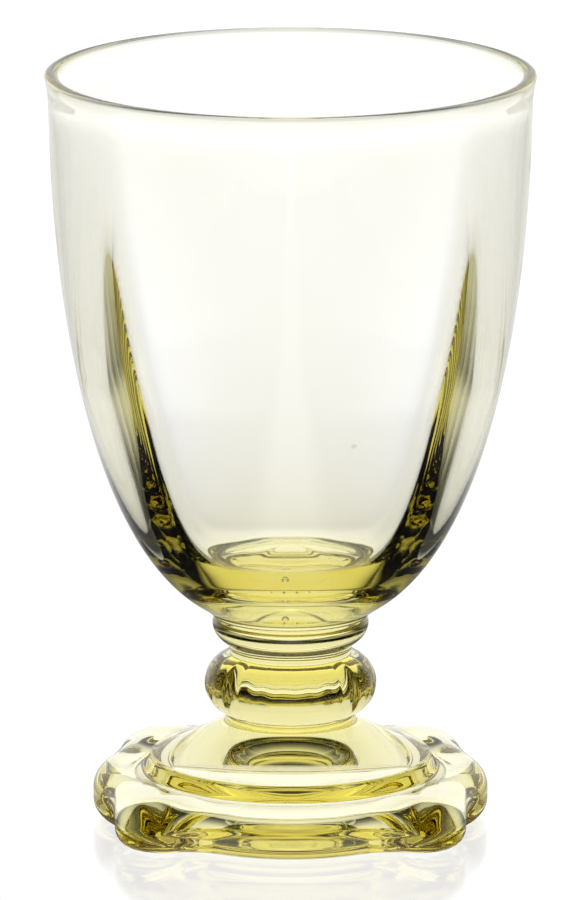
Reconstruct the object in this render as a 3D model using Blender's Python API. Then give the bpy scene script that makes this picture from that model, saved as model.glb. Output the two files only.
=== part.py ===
"""Liqueur glass: a blown bowl on a collar, a short knop and a stepped square foot.

Metres, +Z up. The glass stands on z = 0 with its axis on Z, and a bulging side
of the foot faces -Y. Every piece is modelled with its own lower face at z = 0
and then set at its height in the stack. Each upper piece has a short round boss
under it that seats in a recess in the piece below. A hollow rises into the foot
from below, through the plinth and into the dome.
"""

import math

import bmesh
import bpy
from mathutils import Vector

MM = 0.001

# Joints between the pieces
CLEARANCE = 0.3 * MM
BOSS_HEIGHT = 1.0 * MM
STEM_BOSS_RADIUS = 4.0 * MM
FOOT_BOSS_RADIUS = 14.0 * MM

# Square plinth: four bulging sides with a round lobe at each corner
PLINTH_HEIGHT = 5.65 * MM
SIDE_REACH = 22.9 * MM
SIDE_ARC_RADIUS = 17.0 * MM
LOBE_REACH = 20.2 * MM
LOBE_RADIUS = 5.4 * MM
HOLLOW_RADIUS = 6.0 * MM
PLINTH_EDGE = 1.7 * MM

# Hollow under the foot: it leaves a standing ring, and rises past the plinth into the dome
STANDING_RING = 3.9 * MM
UNDER_CROWN = 0.85 * MM
UNDER_RADIUS = SIDE_REACH - STANDING_RING
UNDER_RISE = PLINTH_HEIGHT + UNDER_CROWN

# Round step of the foot and the dome that rises from it to the neck
STEP_LOWER_RADIUS = 17.1 * MM
STEP_UPPER_RADIUS = 16.3 * MM
STEP_HEIGHT = 1.5 * MM
STEP_EDGE = 0.5 * MM
DOME_RISE = 4.05 * MM
DOME_HOLLOWNESS = 1.25
NECK_RADIUS = 7.5 * MM

# Knop
KNOP_HEIGHT = 7.75 * MM
KNOP_RADIUS = 9.95 * MM
KNOP_BULGE_RADIUS = 3.65 * MM
KNOP_NECK_RADIUS = 7.1 * MM
FLUTE_RADIUS = 3.0 * MM
FLUTE_DEPTH = 0.3 * MM

# Collar under the bowl
COLLAR_HEIGHT = 3.85 * MM
COLLAR_RADIUS = 9.05 * MM
COLLAR_LIP = 0.7 * MM
COLLAR_SWELL = 1.8

# Bowl: an outer curve and a squarer inner one, joined by a round rim
BOWL_OUTER_RADIUS = 27.8 * MM
BOWL_OUTER_DEPTH = 64.45 * MM
BOWL_WALL = 0.87 * MM
BOWL_FLOOR = 5.45 * MM
BOWL_INNER_RADIUS = BOWL_OUTER_RADIUS - BOWL_WALL
BOWL_INNER_DEPTH = BOWL_OUTER_DEPTH - BOWL_FLOOR
BOWL_BASE_RADIUS = 9.4 * MM
BOWL_BASE_EDGE = 0.5 * MM
BOWL_SHOULDER = 2.08
BOWL_ROUNDNESS = 2.7
BOWL_INNER_ROUNDNESS = 3.1

# Four ribs on the inside of the bowl, each with a groove along the side that faces -Y or +Y
RIB_ANGLE = math.radians(49.0)
RIB_TOP_SPREAD = math.radians(2.5)
RIB_FOOT_SPREAD = math.radians(8.5)
RIB_SLOPE = 0.25
RIB_FULL_SHARE = 0.45

# Facets
BOWL_STEPS = 96
STEM_STEPS = 48
BOWL_RINGS = 13
RIM_RINGS = 5
ARC_RINGS = 10
UNDER_RINGS = 6
SIDE_POINTS = 6
HOLLOW_POINTS = 3
LOBE_POINTS = 5
EDGE_SEGMENTS = 3

# Glass colours
CITRINE = (0.86, 0.80, 0.36, 1.0)
PALE_CITRINE = (0.93, 0.92, 0.72, 1.0)
GLASS_ROUGHNESS = 0.04
GLASS_IOR = 1.52


def glass(name, colour):
    """Return a clear glass material of the given tint."""
    material = bpy.data.materials.new(name)
    material.use_nodes = True
    shader = material.node_tree.nodes["Principled BSDF"]
    shader.inputs["Base Color"].default_value = colour
    shader.inputs["Metallic"].default_value = 0.0
    shader.inputs["Roughness"].default_value = GLASS_ROUGHNESS
    shader.inputs["IOR"].default_value = GLASS_IOR
    shader.inputs["Transmission Weight"].default_value = 1.0
    return material


def add_object(name, shape, colour, parent):
    """Turn a bmesh into a smooth-shaded object of the glass."""
    bmesh.ops.recalc_face_normals(shape, faces=shape.faces)
    mesh = bpy.data.meshes.new(name)
    shape.to_mesh(mesh)
    shape.free()
    mesh.shade_smooth()
    mesh.set_sharp_from_angle(angle=math.radians(35.0))
    mesh.materials.append(glass(name + "_glass", colour))
    piece = bpy.data.objects.new(name, mesh)
    bpy.context.scene.collection.objects.link(piece)
    piece.parent = parent
    return piece


def turned(profile, steps):
    """Spin a profile of (radius, height) points, axis to axis, round Z."""
    shape = bmesh.new()
    verts = [shape.verts.new((radius, 0.0, height)) for radius, height in profile]
    edges = [shape.edges.new(pair) for pair in zip(verts, verts[1:])]
    bmesh.ops.spin(
        shape, geom=verts + edges, cent=(0.0, 0.0, 0.0), axis=(0.0, 0.0, 1.0),
        angle=2.0 * math.pi, steps=steps, use_duplicate=False,
    )
    bmesh.ops.remove_doubles(shape, verts=shape.verts, dist=0.001 * MM)
    return shape


def arc(centre, radius, start, end, count):
    """Points on a circular arc in the (radius, height) plane, angles in radians."""
    return [
        (centre[0] + radius * math.cos(start + (end - start) * i / count),
         centre[1] + radius * math.sin(start + (end - start) * i / count))
        for i in range(count + 1)
    ]


def boss(radius):
    """Underside of a piece, from its rim inwards: face, boss wall and boss end."""
    return [(radius, 0.0), (radius, -BOSS_HEIGHT), (0.0, -BOSS_HEIGHT)]


def recess(boss_radius, height):
    """Top of a piece, from the axis outwards: recess floor and recess wall."""
    reach = boss_radius + CLEARANCE
    return [(0.0, height - BOSS_HEIGHT), (reach, height - BOSS_HEIGHT), (reach, height)]


def under_share(height):
    """Share of the hollow's radius at which the hollow under the foot has a given height."""
    return math.sqrt(1.0 - height / UNDER_RISE)


def under_curve(start, end):
    """Points on the hollow under the foot between two shares of its radius."""
    points = []
    for i in range(UNDER_RINGS + 1):
        share = start + (end - start) * i / UNDER_RINGS
        points.append((UNDER_RADIUS * share, UNDER_RISE * (1.0 - share ** 2)))
    return points


def tangent_circle(first, first_radius, second, second_radius, radius):
    """Centre of the circle that touches two circles from outside, on their right."""
    span = second - first
    reach = first_radius + radius
    other = second_radius + radius
    along = (reach ** 2 - other ** 2 + span.length_squared) / (2.0 * span.length)
    across = math.sqrt(reach ** 2 - along ** 2)
    direction = span.normalized()
    return first + along * direction + across * Vector((direction.y, -direction.x))


def plan_arc(centre, radius, start, end, count):
    """Points on an arc in plan between two directions, without its last point."""
    low = math.atan2(start.y, start.x)
    turn = math.remainder(math.atan2(end.y, end.x) - low, 2.0 * math.pi)
    return [
        centre + radius * Vector((math.cos(low + turn * i / count), math.sin(low + turn * i / count)))
        for i in range(count)
    ]


def plinth_outline():
    """Plan of the plinth: side arc, hollow and lobe arc, mirrored and turned round."""
    side = Vector((0.0, SIDE_ARC_RADIUS - SIDE_REACH))
    lobe = Vector((LOBE_REACH - LOBE_RADIUS, LOBE_RADIUS - LOBE_REACH))
    hollow = tangent_circle(side, SIDE_ARC_RADIUS, lobe, LOBE_RADIUS, HOLLOW_RADIUS)
    half = plan_arc(side, SIDE_ARC_RADIUS, Vector((0.0, -1.0)), hollow - side, SIDE_POINTS)
    half += plan_arc(hollow, HOLLOW_RADIUS, side - hollow, lobe - hollow, HOLLOW_POINTS)
    half += plan_arc(lobe, LOBE_RADIUS, hollow - lobe, Vector((1.0, -1.0)), LOBE_POINTS)
    corner = lobe + LOBE_RADIUS * Vector((1.0, -1.0)).normalized()
    quarter = half + [corner] + [Vector((-p.y, -p.x)) for p in reversed(half[1:])]
    outline = []
    for turn in range(4):
        swing = turn * math.pi / 2.0
        cosine, sine = math.cos(swing), math.sin(swing)
        outline += [Vector((p.x * cosine - p.y * sine, p.x * sine + p.y * cosine)) for p in quarter]
    return outline


def add_modifier_cut(piece, cutter):
    """Cut one object out of another and keep the cutter as a wire guide."""
    cutter.hide_render = True
    cutter.display_type = 'WIRE'
    cut = piece.modifiers.new("cut", 'BOOLEAN')
    cut.operation = 'DIFFERENCE'
    cut.solver = 'EXACT'
    cut.object = cutter


def build_plinth(parent):
    """Square plinth with rounded edges, bored through for the dome's seat and the hollow."""
    shape = bmesh.new()
    base = shape.faces.new([shape.verts.new((p.x, p.y, 0.0)) for p in plinth_outline()])
    grown = bmesh.ops.extrude_face_region(shape, geom=[base])
    top = [part for part in grown["geom"] if isinstance(part, bmesh.types.BMVert)]
    bmesh.ops.translate(shape, verts=top, vec=(0.0, 0.0, PLINTH_HEIGHT))
    plinth = add_object("foot_plinth", shape, CITRINE, parent)
    edge = plinth.modifiers.new("rounded edges", 'BEVEL')
    edge.limit_method = 'ANGLE'
    edge.angle_limit = math.radians(60.0)
    edge.width = PLINTH_EDGE
    edge.segments = EDGE_SEGMENTS
    seat_radius = FOOT_BOSS_RADIUS + CLEARANCE
    seat_floor = PLINTH_HEIGHT - BOSS_HEIGHT
    profile = [(0.0, PLINTH_HEIGHT + BOSS_HEIGHT), (seat_radius, PLINTH_HEIGHT + BOSS_HEIGHT)]
    profile.append((seat_radius, seat_floor))
    profile += under_curve(under_share(seat_floor), 1.0)
    profile += [(UNDER_RADIUS, -BOSS_HEIGHT), (0.0, -BOSS_HEIGHT)]
    add_modifier_cut(plinth, add_object("plinth_bore", turned(profile, STEM_STEPS), CITRINE, parent))
    return plinth


def build_dome(parent):
    """Round step with a rounded edge, hollow-sided dome up to the neck, and hollow underside."""
    height = STEP_HEIGHT + DOME_RISE
    foot_of_dome = STEP_UPPER_RADIUS - STEP_EDGE
    profile = recess(STEM_BOSS_RADIUS, height)
    for i in range(ARC_RINGS):
        share = i / ARC_RINGS
        radius = NECK_RADIUS + (foot_of_dome - NECK_RADIUS) * share
        profile.append((radius, STEP_HEIGHT + DOME_RISE * (1.0 - share) ** DOME_HOLLOWNESS))
    centre = (foot_of_dome, STEP_HEIGHT - STEP_EDGE)
    profile += arc(centre, STEP_EDGE, math.pi / 2.0, 0.0, EDGE_SEGMENTS)
    profile.append((STEP_LOWER_RADIUS, 0.0))
    profile += [(FOOT_BOSS_RADIUS, 0.0), (FOOT_BOSS_RADIUS, -BOSS_HEIGHT)]
    underside = PLINTH_HEIGHT + CLEARANCE
    start = under_share(underside - BOSS_HEIGHT)
    profile += [(radius, rise - underside) for radius, rise in under_curve(start, 0.0)]
    return add_object("foot_dome", turned(profile, STEM_STEPS), CITRINE, parent)


def build_knop(parent):
    """Half-round knop between two short necks, with a shallow flute at each corner."""
    centre = (KNOP_RADIUS - KNOP_BULGE_RADIUS, KNOP_HEIGHT / 2.0)
    spread = math.acos((KNOP_NECK_RADIUS - centre[0]) / KNOP_BULGE_RADIUS)
    profile = recess(STEM_BOSS_RADIUS, KNOP_HEIGHT)
    profile.append((KNOP_NECK_RADIUS, KNOP_HEIGHT))
    profile += arc(centre, KNOP_BULGE_RADIUS, spread, -spread, ARC_RINGS)
    profile.append((KNOP_NECK_RADIUS, 0.0))
    profile += boss(STEM_BOSS_RADIUS)
    knop = add_object("knop", turned(profile, STEM_STEPS), CITRINE, parent)
    flutes = bmesh.new()
    reach = KNOP_RADIUS - FLUTE_DEPTH + FLUTE_RADIUS
    for corner in range(4):
        swing = math.pi / 4.0 + corner * math.pi / 2.0
        made = bmesh.ops.create_cone(
            flutes, cap_ends=True, segments=STEM_STEPS // 2, depth=2.0 * KNOP_HEIGHT,
            radius1=FLUTE_RADIUS, radius2=FLUTE_RADIUS,
        )
        place = (reach * math.cos(swing), reach * math.sin(swing), KNOP_HEIGHT / 2.0)
        bmesh.ops.translate(flutes, verts=made["verts"], vec=place)
    add_modifier_cut(knop, add_object("knop_flutes", flutes, CITRINE, parent))
    return knop


def build_collar(parent):
    """Collar that swells from the knop's neck to a rounded lip under the bowl."""
    swell = COLLAR_HEIGHT - COLLAR_LIP
    profile = recess(STEM_BOSS_RADIUS, COLLAR_HEIGHT)
    centre = (COLLAR_RADIUS - COLLAR_LIP, swell)
    profile += arc(centre, COLLAR_LIP, math.pi / 2.0, 0.0, EDGE_SEGMENTS)
    for i in range(1, ARC_RINGS):
        drop = i / ARC_RINGS
        radius = COLLAR_RADIUS - (COLLAR_RADIUS - KNOP_NECK_RADIUS) * drop ** COLLAR_SWELL
        profile.append((radius, swell * (1.0 - drop)))
    profile.append((KNOP_NECK_RADIUS, 0.0))
    profile += boss(STEM_BOSS_RADIUS)
    return add_object("collar", turned(profile, STEM_STEPS), CITRINE, parent)


def bowl_curve(radius, depth, roundness, turn):
    """Radius and drop below the rim of a bowl curve; turn runs 0 at its foot to a quarter."""
    drop = depth * max(math.cos(turn), 0.0) ** (2.0 / BOWL_SHOULDER)
    return radius * math.sin(turn) ** (2.0 / roundness), drop


def raise_ribs(shape, mouth):
    """Wave the inside wall in and out beside each rib, ever more from the rim downwards."""
    for vert in shape.verts:
        radius = math.hypot(vert.co.x, vert.co.y)
        drop = max(mouth - vert.co.z, 0.0)
        outer_share = min(drop / BOWL_OUTER_DEPTH, 1.0)
        outer = BOWL_OUTER_RADIUS * (1.0 - outer_share ** BOWL_SHOULDER) ** (1.0 / BOWL_ROUNDNESS)
        inside = vert.co.z > BOWL_BASE_EDGE and radius < outer - CLEARANCE
        if not inside:
            continue
        growth = min(drop / (BOWL_INNER_DEPTH * RIB_FULL_SHARE), 1.0)
        spread = RIB_TOP_SPREAD + (RIB_FOOT_SPREAD - RIB_TOP_SPREAD) * growth
        off = (math.atan2(abs(vert.co.x), abs(vert.co.y)) - RIB_ANGLE) / spread
        shrink = 1.0 - RIB_SLOPE * growth * spread * off * math.exp(-off ** 2 / 2.0)
        vert.co.x *= shrink
        vert.co.y *= shrink


def build_bowl(parent):
    """Bowl turned from its inner curve, round rim, outer curve and base."""
    quarter = math.pi / 2.0
    base_turn = math.asin((BOWL_BASE_RADIUS / BOWL_OUTER_RADIUS) ** (BOWL_ROUNDNESS / 2.0))
    base_drop = bowl_curve(BOWL_OUTER_RADIUS, BOWL_OUTER_DEPTH, BOWL_ROUNDNESS, base_turn)[1]
    mouth = BOWL_BASE_EDGE + base_drop
    profile = []
    for i in range(BOWL_RINGS):
        turn = quarter * i / BOWL_RINGS
        radius, drop = bowl_curve(BOWL_INNER_RADIUS, BOWL_INNER_DEPTH, BOWL_INNER_ROUNDNESS, turn)
        profile.append((radius, mouth - drop))
    lip = (BOWL_OUTER_RADIUS - BOWL_INNER_RADIUS) / 2.0
    profile += arc((BOWL_INNER_RADIUS + lip, mouth), lip, math.pi, 0.0, RIM_RINGS)
    for i in range(1, BOWL_RINGS + 1):
        turn = quarter + (base_turn - quarter) * i / BOWL_RINGS
        radius, drop = bowl_curve(BOWL_OUTER_RADIUS, BOWL_OUTER_DEPTH, BOWL_ROUNDNESS, turn)
        profile.append((radius, mouth - drop))
    profile.append((BOWL_BASE_RADIUS - BOWL_BASE_EDGE, 0.0))
    profile += boss(STEM_BOSS_RADIUS)
    shape = turned(profile, BOWL_STEPS)
    raise_ribs(shape, mouth)
    return add_object("bowl", shape, PALE_CITRINE, parent)


for old in list(bpy.data.objects):
    bpy.data.objects.remove(old, do_unlink=True)

liqueur_glass = bpy.data.objects.new("liqueur_glass", None)
bpy.context.scene.collection.objects.link(liqueur_glass)

build_plinth(liqueur_glass)

level = PLINTH_HEIGHT + CLEARANCE
build_dome(liqueur_glass).location.z = level

level += STEP_HEIGHT + DOME_RISE + CLEARANCE
knop = build_knop(liqueur_glass)
knop.location.z = level
bpy.data.objects["knop_flutes"].location.z = level

level += KNOP_HEIGHT + CLEARANCE
build_collar(liqueur_glass).location.z = level

level += COLLAR_HEIGHT + CLEARANCE
build_bowl(liqueur_glass).location.z = level
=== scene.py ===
"""Looks of the liqueur glass: its melted skin of citrine glass, and a white studio."""

import math

import bpy
import numpy as np
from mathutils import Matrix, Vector


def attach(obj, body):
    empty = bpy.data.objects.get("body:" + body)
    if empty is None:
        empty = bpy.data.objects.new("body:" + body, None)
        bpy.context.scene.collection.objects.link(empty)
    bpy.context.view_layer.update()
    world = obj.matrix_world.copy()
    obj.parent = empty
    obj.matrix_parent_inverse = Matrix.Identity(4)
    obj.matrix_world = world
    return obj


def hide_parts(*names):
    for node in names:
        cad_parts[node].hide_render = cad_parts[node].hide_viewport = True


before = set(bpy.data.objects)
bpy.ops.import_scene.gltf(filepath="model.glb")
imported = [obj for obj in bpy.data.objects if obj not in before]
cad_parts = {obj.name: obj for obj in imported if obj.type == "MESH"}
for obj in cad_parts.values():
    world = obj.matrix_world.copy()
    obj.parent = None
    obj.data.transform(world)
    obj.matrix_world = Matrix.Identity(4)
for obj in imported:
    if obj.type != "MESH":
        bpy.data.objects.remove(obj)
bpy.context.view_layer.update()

# Lengths of the glass are in millimetres
MM = 0.001
QUARTER = math.pi / 2.0

# Columns of the skin: how many, and how much closer they stand at the diagonals
AROUND = 336
CROWDING = 0.45

# Rings of the skin on each stretch of its outline, from the hollow under the foot to the bowl's floor
UNDER_RINGS = 20
STANDING_RINGS = 8
LOWER_EDGE_RINGS = 7
WALL_RINGS = 6
SHOULDER_RINGS = 12
TOP_RINGS = 12
FILLET_RINGS = 5
STEP_RINGS = 4
STEP_EDGE_RINGS = 6
DOME_RINGS = 18
KNOP_RINGS = 36
COLLAR_RINGS = 16
LIP_RINGS = 8
OUTSIDE_RINGS = 48
RIM_RINGS = 14
INSIDE_RINGS = 72

# Plan of the square plinth
SIDE_REACH = 22.9
SIDE_ARC_RADIUS = 17.0
LOBE_REACH = 20.2
LOBE_RADIUS = 5.4
LOBE_HALF_ANGLE = 0.24
FOOT_HOLLOW_RADIUS = 6.0
TOP_HOLLOW_RADIUS = 30.0

# Rounding of the plinth, at the middle of a side and at a lobe
SIDE_BOTTOM_EDGE = 2.0
LOBE_BOTTOM_EDGE = 2.3
SIDE_TOP_INSET = 2.8
LOBE_TOP_INSET = 4.6
SIDE_TOP_DROP = 2.6
LOBE_TOP_DROP = 3.6
SIDE_CREST = 5.9
LOBE_CREST = 6.2

# Hollow under the foot
UNDER_RADIUS = 19.0
UNDER_RISE = 6.5

# Round step, dome and neck
STEP_FOOT = 5.5
STEP_LOWER_RADIUS = 17.1
STEP_UPPER_RADIUS = 16.3
STEP_TOP = 7.45
STEP_EDGE = 0.45
STEP_FILLET = 0.3
DOME_TOP = 11.45
DOME_HOLLOWNESS = 1.25
NECK_RADIUS = 7.45

# Knop
KNOP_CENTRE = 15.72
KNOP_RADIUS = 9.95
KNOP_BULGE = 3.65
KNOP_NECK_RADIUS = 6.9
FLUTE_DEPTH = 0.3
FLUTE_HALF_ANGLE = math.radians(7.5)
TOOL_WAVES = 28
TOOL_DEPTH = 0.02

# Collar
COLLAR_FOOT = 20.2
COLLAR_WAIST = 23.0
COLLAR_TOP = 23.7
COLLAR_RADIUS = 9.05
COLLAR_LIP = 0.45
COLLAR_SWELL = 2.3

# Bowl
BOWL_MOUTH = 87.27
BOWL_OUTER_RADIUS = 27.8
BOWL_INNER_RADIUS = 26.93
BOWL_OUTER_DEPTH = 64.45
BOWL_INNER_DEPTH = 59.0
BOWL_SHOULDER = 2.08
BOWL_OUTER_ROUNDNESS = 2.7
BOWL_INNER_ROUNDNESS = 3.1
BOWL_BASE_RADIUS = 9.4
FLOOR_HUMP = 2.5
FLOOR_HUMP_RADIUS = 6.0
FLOOR_TURN = 0.03
RIM_SWELL = 0.3
RIM_SWELL_DEPTH = 1.6
RIM_FLARE = 0.42
RIM_FLARE_DEPTH = 1.1
RIM_RISE = 0.45

# Ribs on the inside of the bowl: angle, spread and tilt in degrees at four drops below the rim
RIB_DROPS = (0.0, 20.0, 35.0, 46.0)
RIB_ANGLES = (50.0, 49.3, 48.2, 47.0)
RIB_SPREADS = (3.0, 8.0, 12.5, 11.5)
RIB_TILTS = (0.0, 10.3, 15.5, 15.5)

# Air bubble in the floor of the bowl
SEED_PLACE = (-0.5, -7.0, 27.4)
SEED_RADIUS = 0.42
SEED_TAIL = 0.35
SEED_AROUND = 48
SEED_RINGS = 24

# Glass
GLASS_IOR = 1.52
TINT = (0.9, 0.83, 0.03, 1.0)
TINT_DENSITY = 52.0
WHITE = (1.0, 1.0, 1.0, 1.0)
SMUDGE_SCALE = 90.0
SMUDGE_DETAIL = 3.0
SMUDGE_EDGES = (0.5, 0.75)
SMUDGE_ROUGHNESS = 0.03
SPECK_SCALE = 900.0
SPECK_DETAIL = 2.0
SPECK_EDGES = (0.78, 0.82)
DUST = (0.72, 0.70, 0.62, 1.0)
RIPPLE_SCALE = 140.0
RIPPLE_DETAIL = 1.0
BUBBLE_RIPPLE_SCALE = 600.0
RIPPLE_STRENGTH = 0.05
RIPPLE_HEIGHT = 0.0004

# Studio: light of the table and the room, and the reach in metres of the table's painted bright patch,
# painted lit band and painted shadow round the glass
TABLE_SIZE = 8.0
TABLE_GAP = 0.0003
TABLE_COLOUR = (0.1, 0.1, 0.1, 1.0)
TABLE_ROUGHNESS = 0.12
TABLE_LIGHT = 0.72
# Painted shade level of the table round the glass, seen in reflections
PAINTED_SHADE_LEVEL = 0.03
# Painted bright patch of light on the table under the glass, and its reach
PAINTED_PATCH_LIGHT = 1.0
PAINTED_PATCH_REACH = (0.03, 0.06)
# Painted lit band, painted shadow round the glass and a dimmer painted glow beyond it, darker towards
# the sides, all seen in reflections
PAINTED_BAND_REACH = (0.008, 0.022)
PAINTED_SHADOW_REACH = (0.06, 0.14)
TABLE_SIDES = (0.05, 0.3)
PAINTED_FAR_FRONT_LIGHT = 0.5
PAINTED_FAR_SIDE_LIGHT = 0.25
ROOM_BACK = (0.4, 0.9)
ROOM_CEILING = (0.5, 0.9)
LONGEST_PATH = 48
MOST_REFLECTIONS = 32

# Camera, in metres and for its lens in millimetres
CAMERA_PLACE = (0.0, -1.170, 0.312)
CAMERA_AIM = (0.0, 0.0, 0.04325)
CAMERA_LENS = 416.0
CAMERA_SENSOR = 36.0


def azimuths():
    """Angles round the axis, packed closer towards the four diagonals."""
    even = np.linspace(0.0, 2.0 * math.pi, AROUND, endpoint=False)
    return even + CROWDING / 4.0 * np.sin(4.0 * even)


ANGLE = azimuths()
FROM_FRONT = np.arctan2(np.abs(np.cos(ANGLE)), np.abs(np.sin(ANGLE)))
OFF_CORNER = np.mod(ANGLE, QUARTER) - QUARTER / 2.0
OFF_SIDE = QUARTER / 2.0 - np.abs(OFF_CORNER)
LOBE = np.exp(-((OFF_CORNER / LOBE_HALF_ANGLE) ** 4))


def span(start, end, count):
    """A column of count values from just after start to end."""
    return (start + (end - start) * np.arange(1, count + 1) / count)[:, None]


def level(radius, height):
    """Rings from radii and heights, each repeated over the azimuths where it is only a column."""
    shape = (radius.shape[0], AROUND)
    return np.broadcast_to(radius, shape), np.broadcast_to(height, shape)


def at_lobe(side, lobe):
    """A size that changes from its value on the sides to its value on the lobes."""
    return side + (lobe - side) * LOBE


def circle_hit(centre, radius, side):
    """Distance along each ray from the axis to a circle: its far side for 1, its near side for -1."""
    along = centre[0] * np.cos(OFF_SIDE) + centre[1] * np.sin(OFF_SIDE)
    inside = radius ** 2 - (centre[0] ** 2 + centre[1] ** 2 - along ** 2)
    return along + side * np.sqrt(np.maximum(inside, 0.0))


def plan_radius(inset, hollow_radius):
    """Radius of the plinth's plan moved in by inset: a side arc, a hollow arc and a lobe arc.

    The arcs touch each other, and moving in keeps their centres, so an inset
    only shrinks the side and lobe arcs and widens the hollow one.
    """
    side = np.array([SIDE_REACH - SIDE_ARC_RADIUS, 0.0])
    lobe = np.array([LOBE_REACH - LOBE_RADIUS, LOBE_REACH - LOBE_RADIUS])
    apart = np.hypot(*(lobe - side))
    ahead = (lobe - side) / apart
    reach = SIDE_ARC_RADIUS + hollow_radius
    other = LOBE_RADIUS + hollow_radius
    along = (reach ** 2 - other ** 2 + apart ** 2) / (2.0 * apart)
    across = math.sqrt(reach ** 2 - along ** 2)
    hollow = side + along * ahead + across * np.array([ahead[1], -ahead[0]])
    first = side[:, None] + (SIDE_ARC_RADIUS - inset) * ((hollow - side) / reach)[:, None]
    second = lobe[:, None] + (LOBE_RADIUS - inset) * ((hollow - lobe) / other)[:, None]
    radius = np.where(
        OFF_SIDE < np.arctan2(second[1], second[0]),
        circle_hit(hollow, hollow_radius + inset, -1.0),
        circle_hit(lobe, LOBE_RADIUS - inset, 1.0),
    )
    on_side = OFF_SIDE < np.arctan2(first[1], first[0])
    return np.where(on_side, circle_hit(side, SIDE_ARC_RADIUS - inset, 1.0), radius)


def plan_rings(insets, hollow_radii):
    """Plan radii of several rings, each with its own row of insets and its own hollow."""
    return np.stack([plan_radius(inset, hollow) for inset, hollow in zip(insets, hollow_radii)])


def plinth_rings():
    """Hollow underside, standing ring, round lower edge, wall, round shoulder and dished top.

    The hollow is a parabola turned round the axis. The edges are quarter ellipses, and
    the wall's hollows open out between them, so the plan is scalloped at the foot and
    nearly square at the top.
    """
    bottom = at_lobe(SIDE_BOTTOM_EDGE, LOBE_BOTTOM_EDGE)
    inset = at_lobe(SIDE_TOP_INSET, LOBE_TOP_INSET)
    drop = at_lobe(SIDE_TOP_DROP, LOBE_TOP_DROP)
    crest = at_lobe(SIDE_CREST, LOBE_CREST)
    share = span(0.0, 1.0, UNDER_RINGS)
    hollow = level(UNDER_RADIUS * share, UNDER_RISE * (1.0 - share ** 2))
    share = span(0.0, 1.0, STANDING_RINGS)
    edge = plan_radius(bottom, FOOT_HOLLOW_RADIUS)
    standing = level(UNDER_RADIUS + (edge - UNDER_RADIUS) * share, 0.0 * share)
    turn = span(0.0, QUARTER, LOWER_EDGE_RINGS)
    scallops = np.full(len(turn), FOOT_HOLLOW_RADIUS)
    lower = plan_rings(bottom * (1.0 - np.sin(turn)), scallops), bottom * (1.0 - np.cos(turn))
    share = span(0.0, 1.0, WALL_RINGS)
    scallops = FOOT_HOLLOW_RADIUS + (TOP_HOLLOW_RADIUS - FOOT_HOLLOW_RADIUS) * share[:, 0] ** 2
    wall = plan_rings(0.0 * share, scallops), bottom + (crest - drop - bottom) * share
    turn = span(0.0, QUARTER, SHOULDER_RINGS)
    scallops = np.full(len(turn), TOP_HOLLOW_RADIUS)
    shoulder = plan_rings(inset * (1.0 - np.cos(turn)), scallops), crest - drop * (1.0 - np.sin(turn))
    share = span(0.0, 1.0, TOP_RINGS)
    edge = plan_radius(inset, TOP_HOLLOW_RADIUS)
    dish = 0.5 - 0.5 * np.cos(math.pi * share)
    top = edge + (STEP_LOWER_RADIUS + STEP_FILLET - edge) * share, crest + (STEP_FOOT - crest) * dish
    return [hollow, standing, lower, wall, shoulder, top]


def foot_rings():
    """Fillet, side and edge of the round step, then the hollow-sided dome up to the neck.

    The dome rises as a power of the way in, which leaves its side slightly hollow.
    """
    turn = span(0.0, QUARTER, FILLET_RINGS)
    fillet = level(
        STEP_LOWER_RADIUS + STEP_FILLET * (1.0 - np.sin(turn)),
        STEP_FOOT + STEP_FILLET * (1.0 - np.cos(turn)),
    )
    share = span(0.0, 1.0, STEP_RINGS)
    side_foot = STEP_FOOT + STEP_FILLET
    side_top = STEP_TOP - STEP_EDGE
    side = level(
        STEP_LOWER_RADIUS + (STEP_UPPER_RADIUS - STEP_LOWER_RADIUS) * share,
        side_foot + (side_top - side_foot) * share,
    )
    turn = span(0.0, QUARTER, STEP_EDGE_RINGS)
    edge = level(
        STEP_UPPER_RADIUS - STEP_EDGE * (1.0 - np.cos(turn)),
        side_top + STEP_EDGE * np.sin(turn),
    )
    share = span(0.0, 1.0, DOME_RINGS)
    foot = STEP_UPPER_RADIUS - STEP_EDGE
    dome = level(
        foot + (NECK_RADIUS - foot) * share,
        STEP_TOP + (DOME_TOP - STEP_TOP) * share ** DOME_HOLLOWNESS,
    )
    return [fillet, side, edge, dome]


def knop_rings():
    """Knop: an arc turned round the axis, fluted at the diagonals and rippled by the tool."""
    centre = KNOP_RADIUS - KNOP_BULGE
    spread = math.acos((KNOP_NECK_RADIUS - centre) / KNOP_BULGE)
    turn = span(-spread, spread, KNOP_RINGS)
    flute = FLUTE_DEPTH * np.clip(1.0 - (OFF_CORNER / FLUTE_HALF_ANGLE) ** 2, 0.0, 1.0)
    ripple = TOOL_DEPTH * np.sin(TOOL_WAVES * ANGLE) * np.cos(turn) ** 2
    radius = centre + KNOP_BULGE * np.cos(turn) - flute * np.maximum(np.cos(turn), 0.0) + ripple
    return [level(radius, KNOP_CENTRE + KNOP_BULGE * np.sin(turn))]


def collar_rings():
    """Collar: a side that swells as a power of the height, and a quarter-round lip."""
    drop = 1.0 - span(0.0, 1.0, COLLAR_RINGS)
    swell = level(
        COLLAR_RADIUS - (COLLAR_RADIUS - KNOP_NECK_RADIUS) * drop ** COLLAR_SWELL,
        COLLAR_FOOT + (COLLAR_WAIST - COLLAR_FOOT) * (1.0 - drop),
    )
    turn = span(0.0, QUARTER, LIP_RINGS)
    lip = level(
        COLLAR_RADIUS - COLLAR_LIP * (1.0 - np.cos(turn)),
        COLLAR_WAIST + (COLLAR_TOP - COLLAR_WAIST) * np.sin(turn),
    )
    return [swell, lip]


def bowl_curve(radius, depth, roundness, turn):
    """Radius and drop of a bowl curve: powers of the sine and cosine of turn, 0 at its foot."""
    return (
        radius * np.sin(turn) ** (2.0 / roundness),
        depth * np.maximum(np.cos(turn), 0.0) ** (2.0 / BOWL_SHOULDER),
    )


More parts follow.
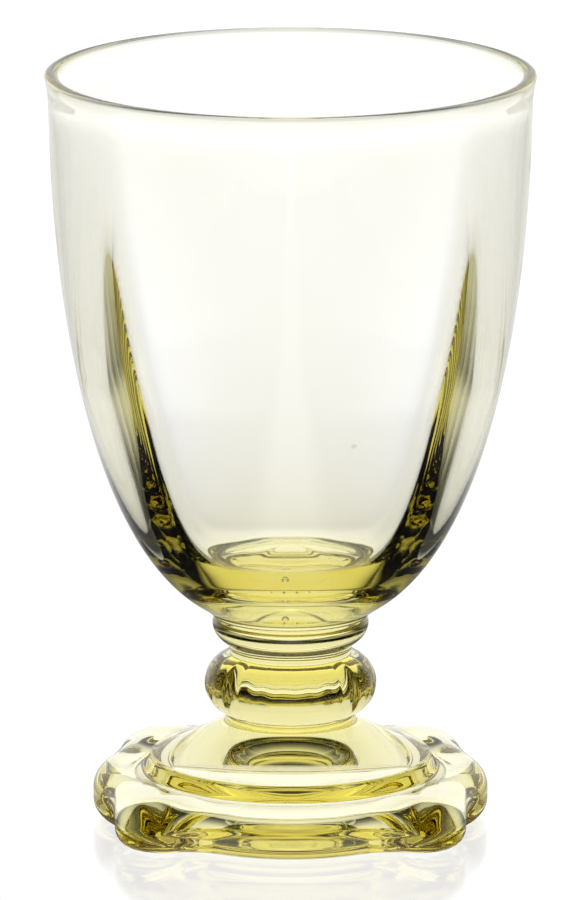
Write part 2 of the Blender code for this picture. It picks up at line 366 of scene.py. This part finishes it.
def ribs(drop, radius):
    """Height of the ribs over the inside wall, with the groove that lies beside each of them.

    Across a rib the height is the slope of a bell curve: it falls into a groove on the
    side towards the front or back, and rises to the rib on the other side.
    """
    middle = np.radians(np.interp(drop, RIB_DROPS, RIB_ANGLES))
    spread = np.radians(np.interp(drop, RIB_DROPS, RIB_SPREADS))
    slope = np.tan(np.radians(np.interp(drop, RIB_DROPS, RIB_TILTS)))
    off = (FROM_FRONT - middle) / spread
    return slope * spread * radius * off * np.exp(-off ** 2 / 2.0)


def bowl_rings():
    """Outside of the bowl with its flared lip, the round rim, and the ribbed inside."""
    base = math.asin((BOWL_BASE_RADIUS / BOWL_OUTER_RADIUS) ** (BOWL_OUTER_ROUNDNESS / 2.0))
    turn = span(base, QUARTER, OUTSIDE_RINGS)
    radius, drop = bowl_curve(BOWL_OUTER_RADIUS, BOWL_OUTER_DEPTH, BOWL_OUTER_ROUNDNESS, turn)
    outside = level(radius + RIM_FLARE * np.exp(-drop / RIM_FLARE_DEPTH), BOWL_MOUTH - drop)
    outer_lip = BOWL_OUTER_RADIUS + RIM_FLARE
    half = (outer_lip - BOWL_INNER_RADIUS + RIM_SWELL) / 2.0
    turn = span(0.0, math.pi, RIM_RINGS)
    rim = level(outer_lip - half + half * np.cos(turn), BOWL_MOUTH + RIM_RISE * np.sin(turn))
    turn = span(QUARTER, FLOOR_TURN, INSIDE_RINGS)
    radius, drop = bowl_curve(BOWL_INNER_RADIUS, BOWL_INNER_DEPTH, BOWL_INNER_ROUNDNESS, turn)
    swell = RIM_SWELL * np.exp(-drop / RIM_SWELL_DEPTH)
    hump = FLOOR_HUMP * np.exp(-(radius / FLOOR_HUMP_RADIUS) ** 2)
    inside = level(radius - swell - ribs(drop, radius), BOWL_MOUTH - drop + hump)
    return [outside, rim, inside]


def add_mesh(name, points, corners, sizes, material):
    """Smooth mesh object at the origin from points in millimetres and its faces' corners."""
    mesh = bpy.data.meshes.new(name)
    mesh.vertices.add(len(points))
    mesh.vertices.foreach_set("co", (points * MM).ravel())
    mesh.loops.add(len(corners))
    mesh.loops.foreach_set("vertex_index", corners)
    mesh.polygons.add(len(sizes))
    mesh.polygons.foreach_set("loop_start", np.concatenate([[0], np.cumsum(sizes)[:-1]]))
    mesh.update(calc_edges=True)
    mesh.validate()
    mesh.shade_smooth()
    mesh.materials.append(material)
    piece = bpy.data.objects.new(name, mesh)
    bpy.context.scene.collection.objects.link(piece)
    return piece


def skin(name, radius, height, angle, ends, place, material):
    """Closed mesh from rows of rings round an axis at place, with a point on that axis at each end."""
    count, around = radius.shape
    rings = np.stack([radius * np.cos(angle), radius * np.sin(angle), height], axis=-1)
    poles = np.array([[0.0, 0.0, end] for end in ends])
    points = np.concatenate([rings.reshape(-1, 3), poles]) + np.array(place)
    here = np.arange(around)
    there = np.roll(here, -1)
    start = np.arange(count - 1)[:, None] * around
    above = start + around
    quads = np.stack([start + here, start + there, above + there, above + here], axis=-1)
    last = (count - 1) * around
    pole = np.full(around, count * around)
    first_fan = np.stack([pole, there, here], axis=-1)
    last_fan = np.stack([pole + 1, last + here, last + there], axis=-1)
    corners = np.concatenate([quads.ravel(), first_fan.ravel(), last_fan.ravel()])
    sizes = np.concatenate([np.full(quads.size // 4, 4), np.full(2 * around, 3)])
    return add_mesh(name, points, corners, sizes, material)


def glass_skin(material):
    """The whole glass in one skin, from the hollow under its foot over the rim to the bowl's floor."""
    rings = plinth_rings() + foot_rings() + knop_rings() + collar_rings() + bowl_rings()
    radius = np.concatenate([ring for ring, _ in rings])
    height = np.concatenate([rise for _, rise in rings])
    ends = (UNDER_RISE, BOWL_MOUTH - BOWL_INNER_DEPTH + FLOOR_HUMP)
    return skin("glass_skin", radius, height, ANGLE, ends, (0.0, 0.0, 0.0), material)


def seed_bubble(material):
    """Air bubble: a ball whose height is stretched upwards by a share that grows with the height."""
    around = np.linspace(0.0, 2.0 * math.pi, SEED_AROUND, endpoint=False)
    turn = np.tile(span(-QUARTER, QUARTER, SEED_RINGS)[:-1], SEED_AROUND)
    rise = SEED_RADIUS * np.sin(turn) * (1.0 + SEED_TAIL * np.sin(turn))
    radius = SEED_RADIUS * np.cos(turn)
    ends = (-SEED_RADIUS * (1.0 - SEED_TAIL), SEED_RADIUS * (1.0 + SEED_TAIL))
    return skin("seed_bubble", radius, rise, around, ends, SEED_PLACE, material)


def maths(tree, operation, *values):
    """Output of a math node over sockets and plain numbers."""
    node = tree.nodes.new("ShaderNodeMath")
    node.operation = operation
    for socket, value in zip(node.inputs, values):
        if isinstance(value, float):
            socket.default_value = value
        else:
            tree.links.new(value, socket)
    return node.outputs[0]


def fade(tree, value, start, end):
    """0 where the value is at start, 1 where it is at end, and a soft change between."""
    node = tree.nodes.new("ShaderNodeMapRange")
    node.interpolation_type = 'SMOOTHSTEP'
    tree.links.new(value, node.inputs["Value"])
    node.inputs["From Min"].default_value = start
    node.inputs["From Max"].default_value = end
    return node.outputs["Result"]


def noise(tree, scale, detail):
    """Noise over the object's own coordinates."""
    where = tree.nodes.new("ShaderNodeTexCoord")
    node = tree.nodes.new("ShaderNodeTexNoise")
    node.inputs["Scale"].default_value = scale
    node.inputs["Detail"].default_value = detail
    tree.links.new(where.outputs["Object"], node.inputs["Vector"])
    return node.outputs["Fac"]


def surface_ripple():
    """Node group of the soft waves that hot glass sets into: a slow noise over the object."""
    group = bpy.data.node_groups.new("surface_ripple", 'ShaderNodeTree')
    group.interface.new_socket("Scale", in_out='INPUT', socket_type='NodeSocketFloat')
    group.interface.new_socket("Height", in_out='OUTPUT', socket_type='NodeSocketFloat')
    start = group.nodes.new("NodeGroupInput")
    end = group.nodes.new("NodeGroupOutput")
    where = group.nodes.new("ShaderNodeTexCoord")
    waves = group.nodes.new("ShaderNodeTexNoise")
    waves.inputs["Detail"].default_value = RIPPLE_DETAIL
    group.links.new(where.outputs["Object"], waves.inputs["Vector"])
    group.links.new(start.outputs["Scale"], waves.inputs["Scale"])
    group.links.new(waves.outputs["Fac"], end.inputs["Height"])
    return group


def rippled_glass(name, ior, ripple, scale):
    """Principled glass without colour, with its surface ripple, ready for other details."""
    material = bpy.data.materials.new(name)
    material.use_nodes = True
    tree = material.node_tree
    shader = tree.nodes["Principled BSDF"]
    shader.inputs["Base Color"].default_value = WHITE
    shader.inputs["Roughness"].default_value = 0.0
    shader.inputs["IOR"].default_value = ior
    shader.inputs["Transmission Weight"].default_value = 1.0
    waves = tree.nodes.new("ShaderNodeGroup")
    waves.node_tree = ripple
    waves.inputs["Scale"].default_value = scale
    bump = tree.nodes.new("ShaderNodeBump")
    bump.inputs["Strength"].default_value = RIPPLE_STRENGTH
    bump.inputs["Distance"].default_value = RIPPLE_HEIGHT
    tree.links.new(waves.outputs["Height"], bump.inputs["Height"])
    tree.links.new(bump.outputs["Normal"], shader.inputs["Normal"])
    return material


def citrine_glass(ripple):
    """Glass whose tint deepens with thickness, with finger smudges, dust specks and soft ripples."""
    material = rippled_glass("citrine_glass", GLASS_IOR, ripple, RIPPLE_SCALE)
    tree = material.node_tree
    shader = tree.nodes["Principled BSDF"]
    tint = tree.nodes.new("ShaderNodeVolumeAbsorption")
    tint.inputs["Color"].default_value = TINT
    tint.inputs["Density"].default_value = TINT_DENSITY
    tree.links.new(tint.outputs["Volume"], tree.nodes["Material Output"].inputs["Volume"])
    smudge = fade(tree, noise(tree, SMUDGE_SCALE, SMUDGE_DETAIL), *SMUDGE_EDGES)
    tree.links.new(maths(tree, 'MULTIPLY', smudge, SMUDGE_ROUGHNESS), shader.inputs["Roughness"])
    speck = fade(tree, noise(tree, SPECK_SCALE, SPECK_DETAIL), *SPECK_EDGES)
    dust = tree.nodes.new("ShaderNodeMix")
    dust.data_type = 'RGBA'
    dust.inputs["A"].default_value = WHITE
    dust.inputs["B"].default_value = DUST
    tree.links.new(speck, dust.inputs["Factor"])
    tree.links.new(dust.outputs["Result"], shader.inputs["Base Color"])
    return material


def thrown_back(tree):
    """1 for a ray that some surface has thrown back on its way, 0 for one that only came through."""
    path = tree.nodes.new("ShaderNodeLightPath")
    return maths(tree, 'GREATER_THAN', path.outputs["Glossy Depth"], 0.5)


def mixed(tree, share, first, second):
    """Mix of two levels: the first where the share is 0, the second where it is 1."""
    node = tree.nodes.new("ShaderNodeMix")
    tree.links.new(share, node.inputs["Factor"])
    for socket, value in zip((node.inputs["A"], node.inputs["B"]), (first, second)):
        if isinstance(value, float):
            socket.default_value = value
        else:
            tree.links.new(value, socket)
    return node.outputs["Result"]


def table_with_painted_light():
    """Glossy white table that glows, with painted light: a bright patch under the glass.

    Rays that came straight see its even glow, and rays that came only through the glass see the
    painted bright patch. Rays that were thrown back see a narrow painted lit band, a painted shadow
    round the glass and the dimmer painted glow beyond, darker towards the sides.
    """
    material = bpy.data.materials.new("table_with_painted_light")
    material.use_nodes = True
    tree = material.node_tree
    shader = tree.nodes["Principled BSDF"]
    shader.inputs["Base Color"].default_value = TABLE_COLOUR
    shader.inputs["Roughness"].default_value = TABLE_ROUGHNESS
    shader.inputs["Emission Color"].default_value = WHITE
    where = tree.nodes.new("ShaderNodeTexCoord").outputs["Object"]
    split = tree.nodes.new("ShaderNodeSeparateXYZ")
    tree.links.new(where, split.inputs[0])
    aside = maths(tree, 'ABSOLUTE', split.outputs["X"])
    length = tree.nodes.new("ShaderNodeVectorMath")
    length.operation = 'LENGTH'
    tree.links.new(where, length.inputs[0])
    reach = length.outputs["Value"]
    # Painted bright patch of light: the table glows brightest under the glass
    painted_patch = mixed(tree, fade(tree, reach, *PAINTED_PATCH_REACH), PAINTED_PATCH_LIGHT, TABLE_LIGHT)
    # Painted lit band along the glass's axis, seen only in reflections
    painted_band = maths(tree, 'MULTIPLY', painted_patch, fade(tree, aside, PAINTED_BAND_REACH[1], PAINTED_BAND_REACH[0]))
    # Painted shadow round the glass, and a dimmer painted glow beyond it that is darker towards the
    # sides, seen only in reflections
    beyond = mixed(tree, fade(tree, aside, *TABLE_SIDES), PAINTED_FAR_FRONT_LIGHT, PAINTED_FAR_SIDE_LIGHT)
    beyond = maths(tree, 'MULTIPLY', beyond, fade(tree, reach, *PAINTED_SHADOW_REACH))
    painted_shade_in_reflections = maths(tree, 'MAXIMUM', maths(tree, 'MAXIMUM', painted_band, beyond), PAINTED_SHADE_LEVEL)
    direct = tree.nodes.new("ShaderNodeLightPath").outputs["Is Camera Ray"]
    light = mixed(tree, thrown_back(tree), mixed(tree, direct, painted_patch, TABLE_LIGHT), painted_shade_in_reflections)
    tree.links.new(light, shader.inputs["Emission Strength"])
    return material


def set_studio():
    """White room; rays that were thrown back find it bright behind the glass and dark elsewhere."""
    scene = bpy.context.scene
    scene.world = bpy.data.worlds.new("studio")
    scene.world.use_nodes = True
    tree = scene.world.node_tree
    split = tree.nodes.new("ShaderNodeSeparateXYZ")
    tree.links.new(tree.nodes.new("ShaderNodeTexCoord").outputs["Generated"], split.inputs[0])
    room = maths(
        tree, 'MULTIPLY',
        fade(tree, split.outputs["Y"], *ROOM_BACK),
        fade(tree, split.outputs["Z"], ROOM_CEILING[1], ROOM_CEILING[0]),
    )
    light = mixed(tree, thrown_back(tree), 1.0, room)
    tree.links.new(light, tree.nodes["Background"].inputs["Color"])
    scene.view_settings.view_transform = "Standard"
    scene.cycles.max_bounces = LONGEST_PATH
    scene.cycles.transmission_bounces = LONGEST_PATH
    scene.cycles.glossy_bounces = MOST_REFLECTIONS


def set_camera():
    """Long lens a little above the glass, aimed at its middle."""
    lens = bpy.data.cameras.new("camera")
    camera = bpy.data.objects.new("camera", lens)
    bpy.context.scene.collection.objects.link(camera)
    camera.location = CAMERA_PLACE
    aim = Vector(CAMERA_AIM) - camera.location
    camera.rotation_euler = aim.to_track_quat('-Z', 'Y').to_euler()
    lens.sensor_fit = 'VERTICAL'
    lens.sensor_height = CAMERA_SENSOR
    lens.lens = CAMERA_LENS
    lens.clip_end = TABLE_SIZE
    bpy.context.scene.camera = camera


set_studio()
set_camera()

ripple = surface_ripple()
glass = glass_skin(citrine_glass(ripple))
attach(glass, "root")
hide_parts("bowl", "collar", "knop", "foot_dome", "foot_plinth")

bubble = seed_bubble(rippled_glass("bubble_air", 1.0 / GLASS_IOR, ripple, BUBBLE_RIPPLE_SCALE))
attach(bubble, "root")

# Table that glows, with painted light: a bright patch under the glass, and a painted shadow round it
# seen in reflections
bpy.ops.mesh.primitive_plane_add(size=TABLE_SIZE, location=(0.0, 0.0, -TABLE_GAP))
table = bpy.context.object
table.name = "table"
table.data.materials.append(table_with_painted_light())
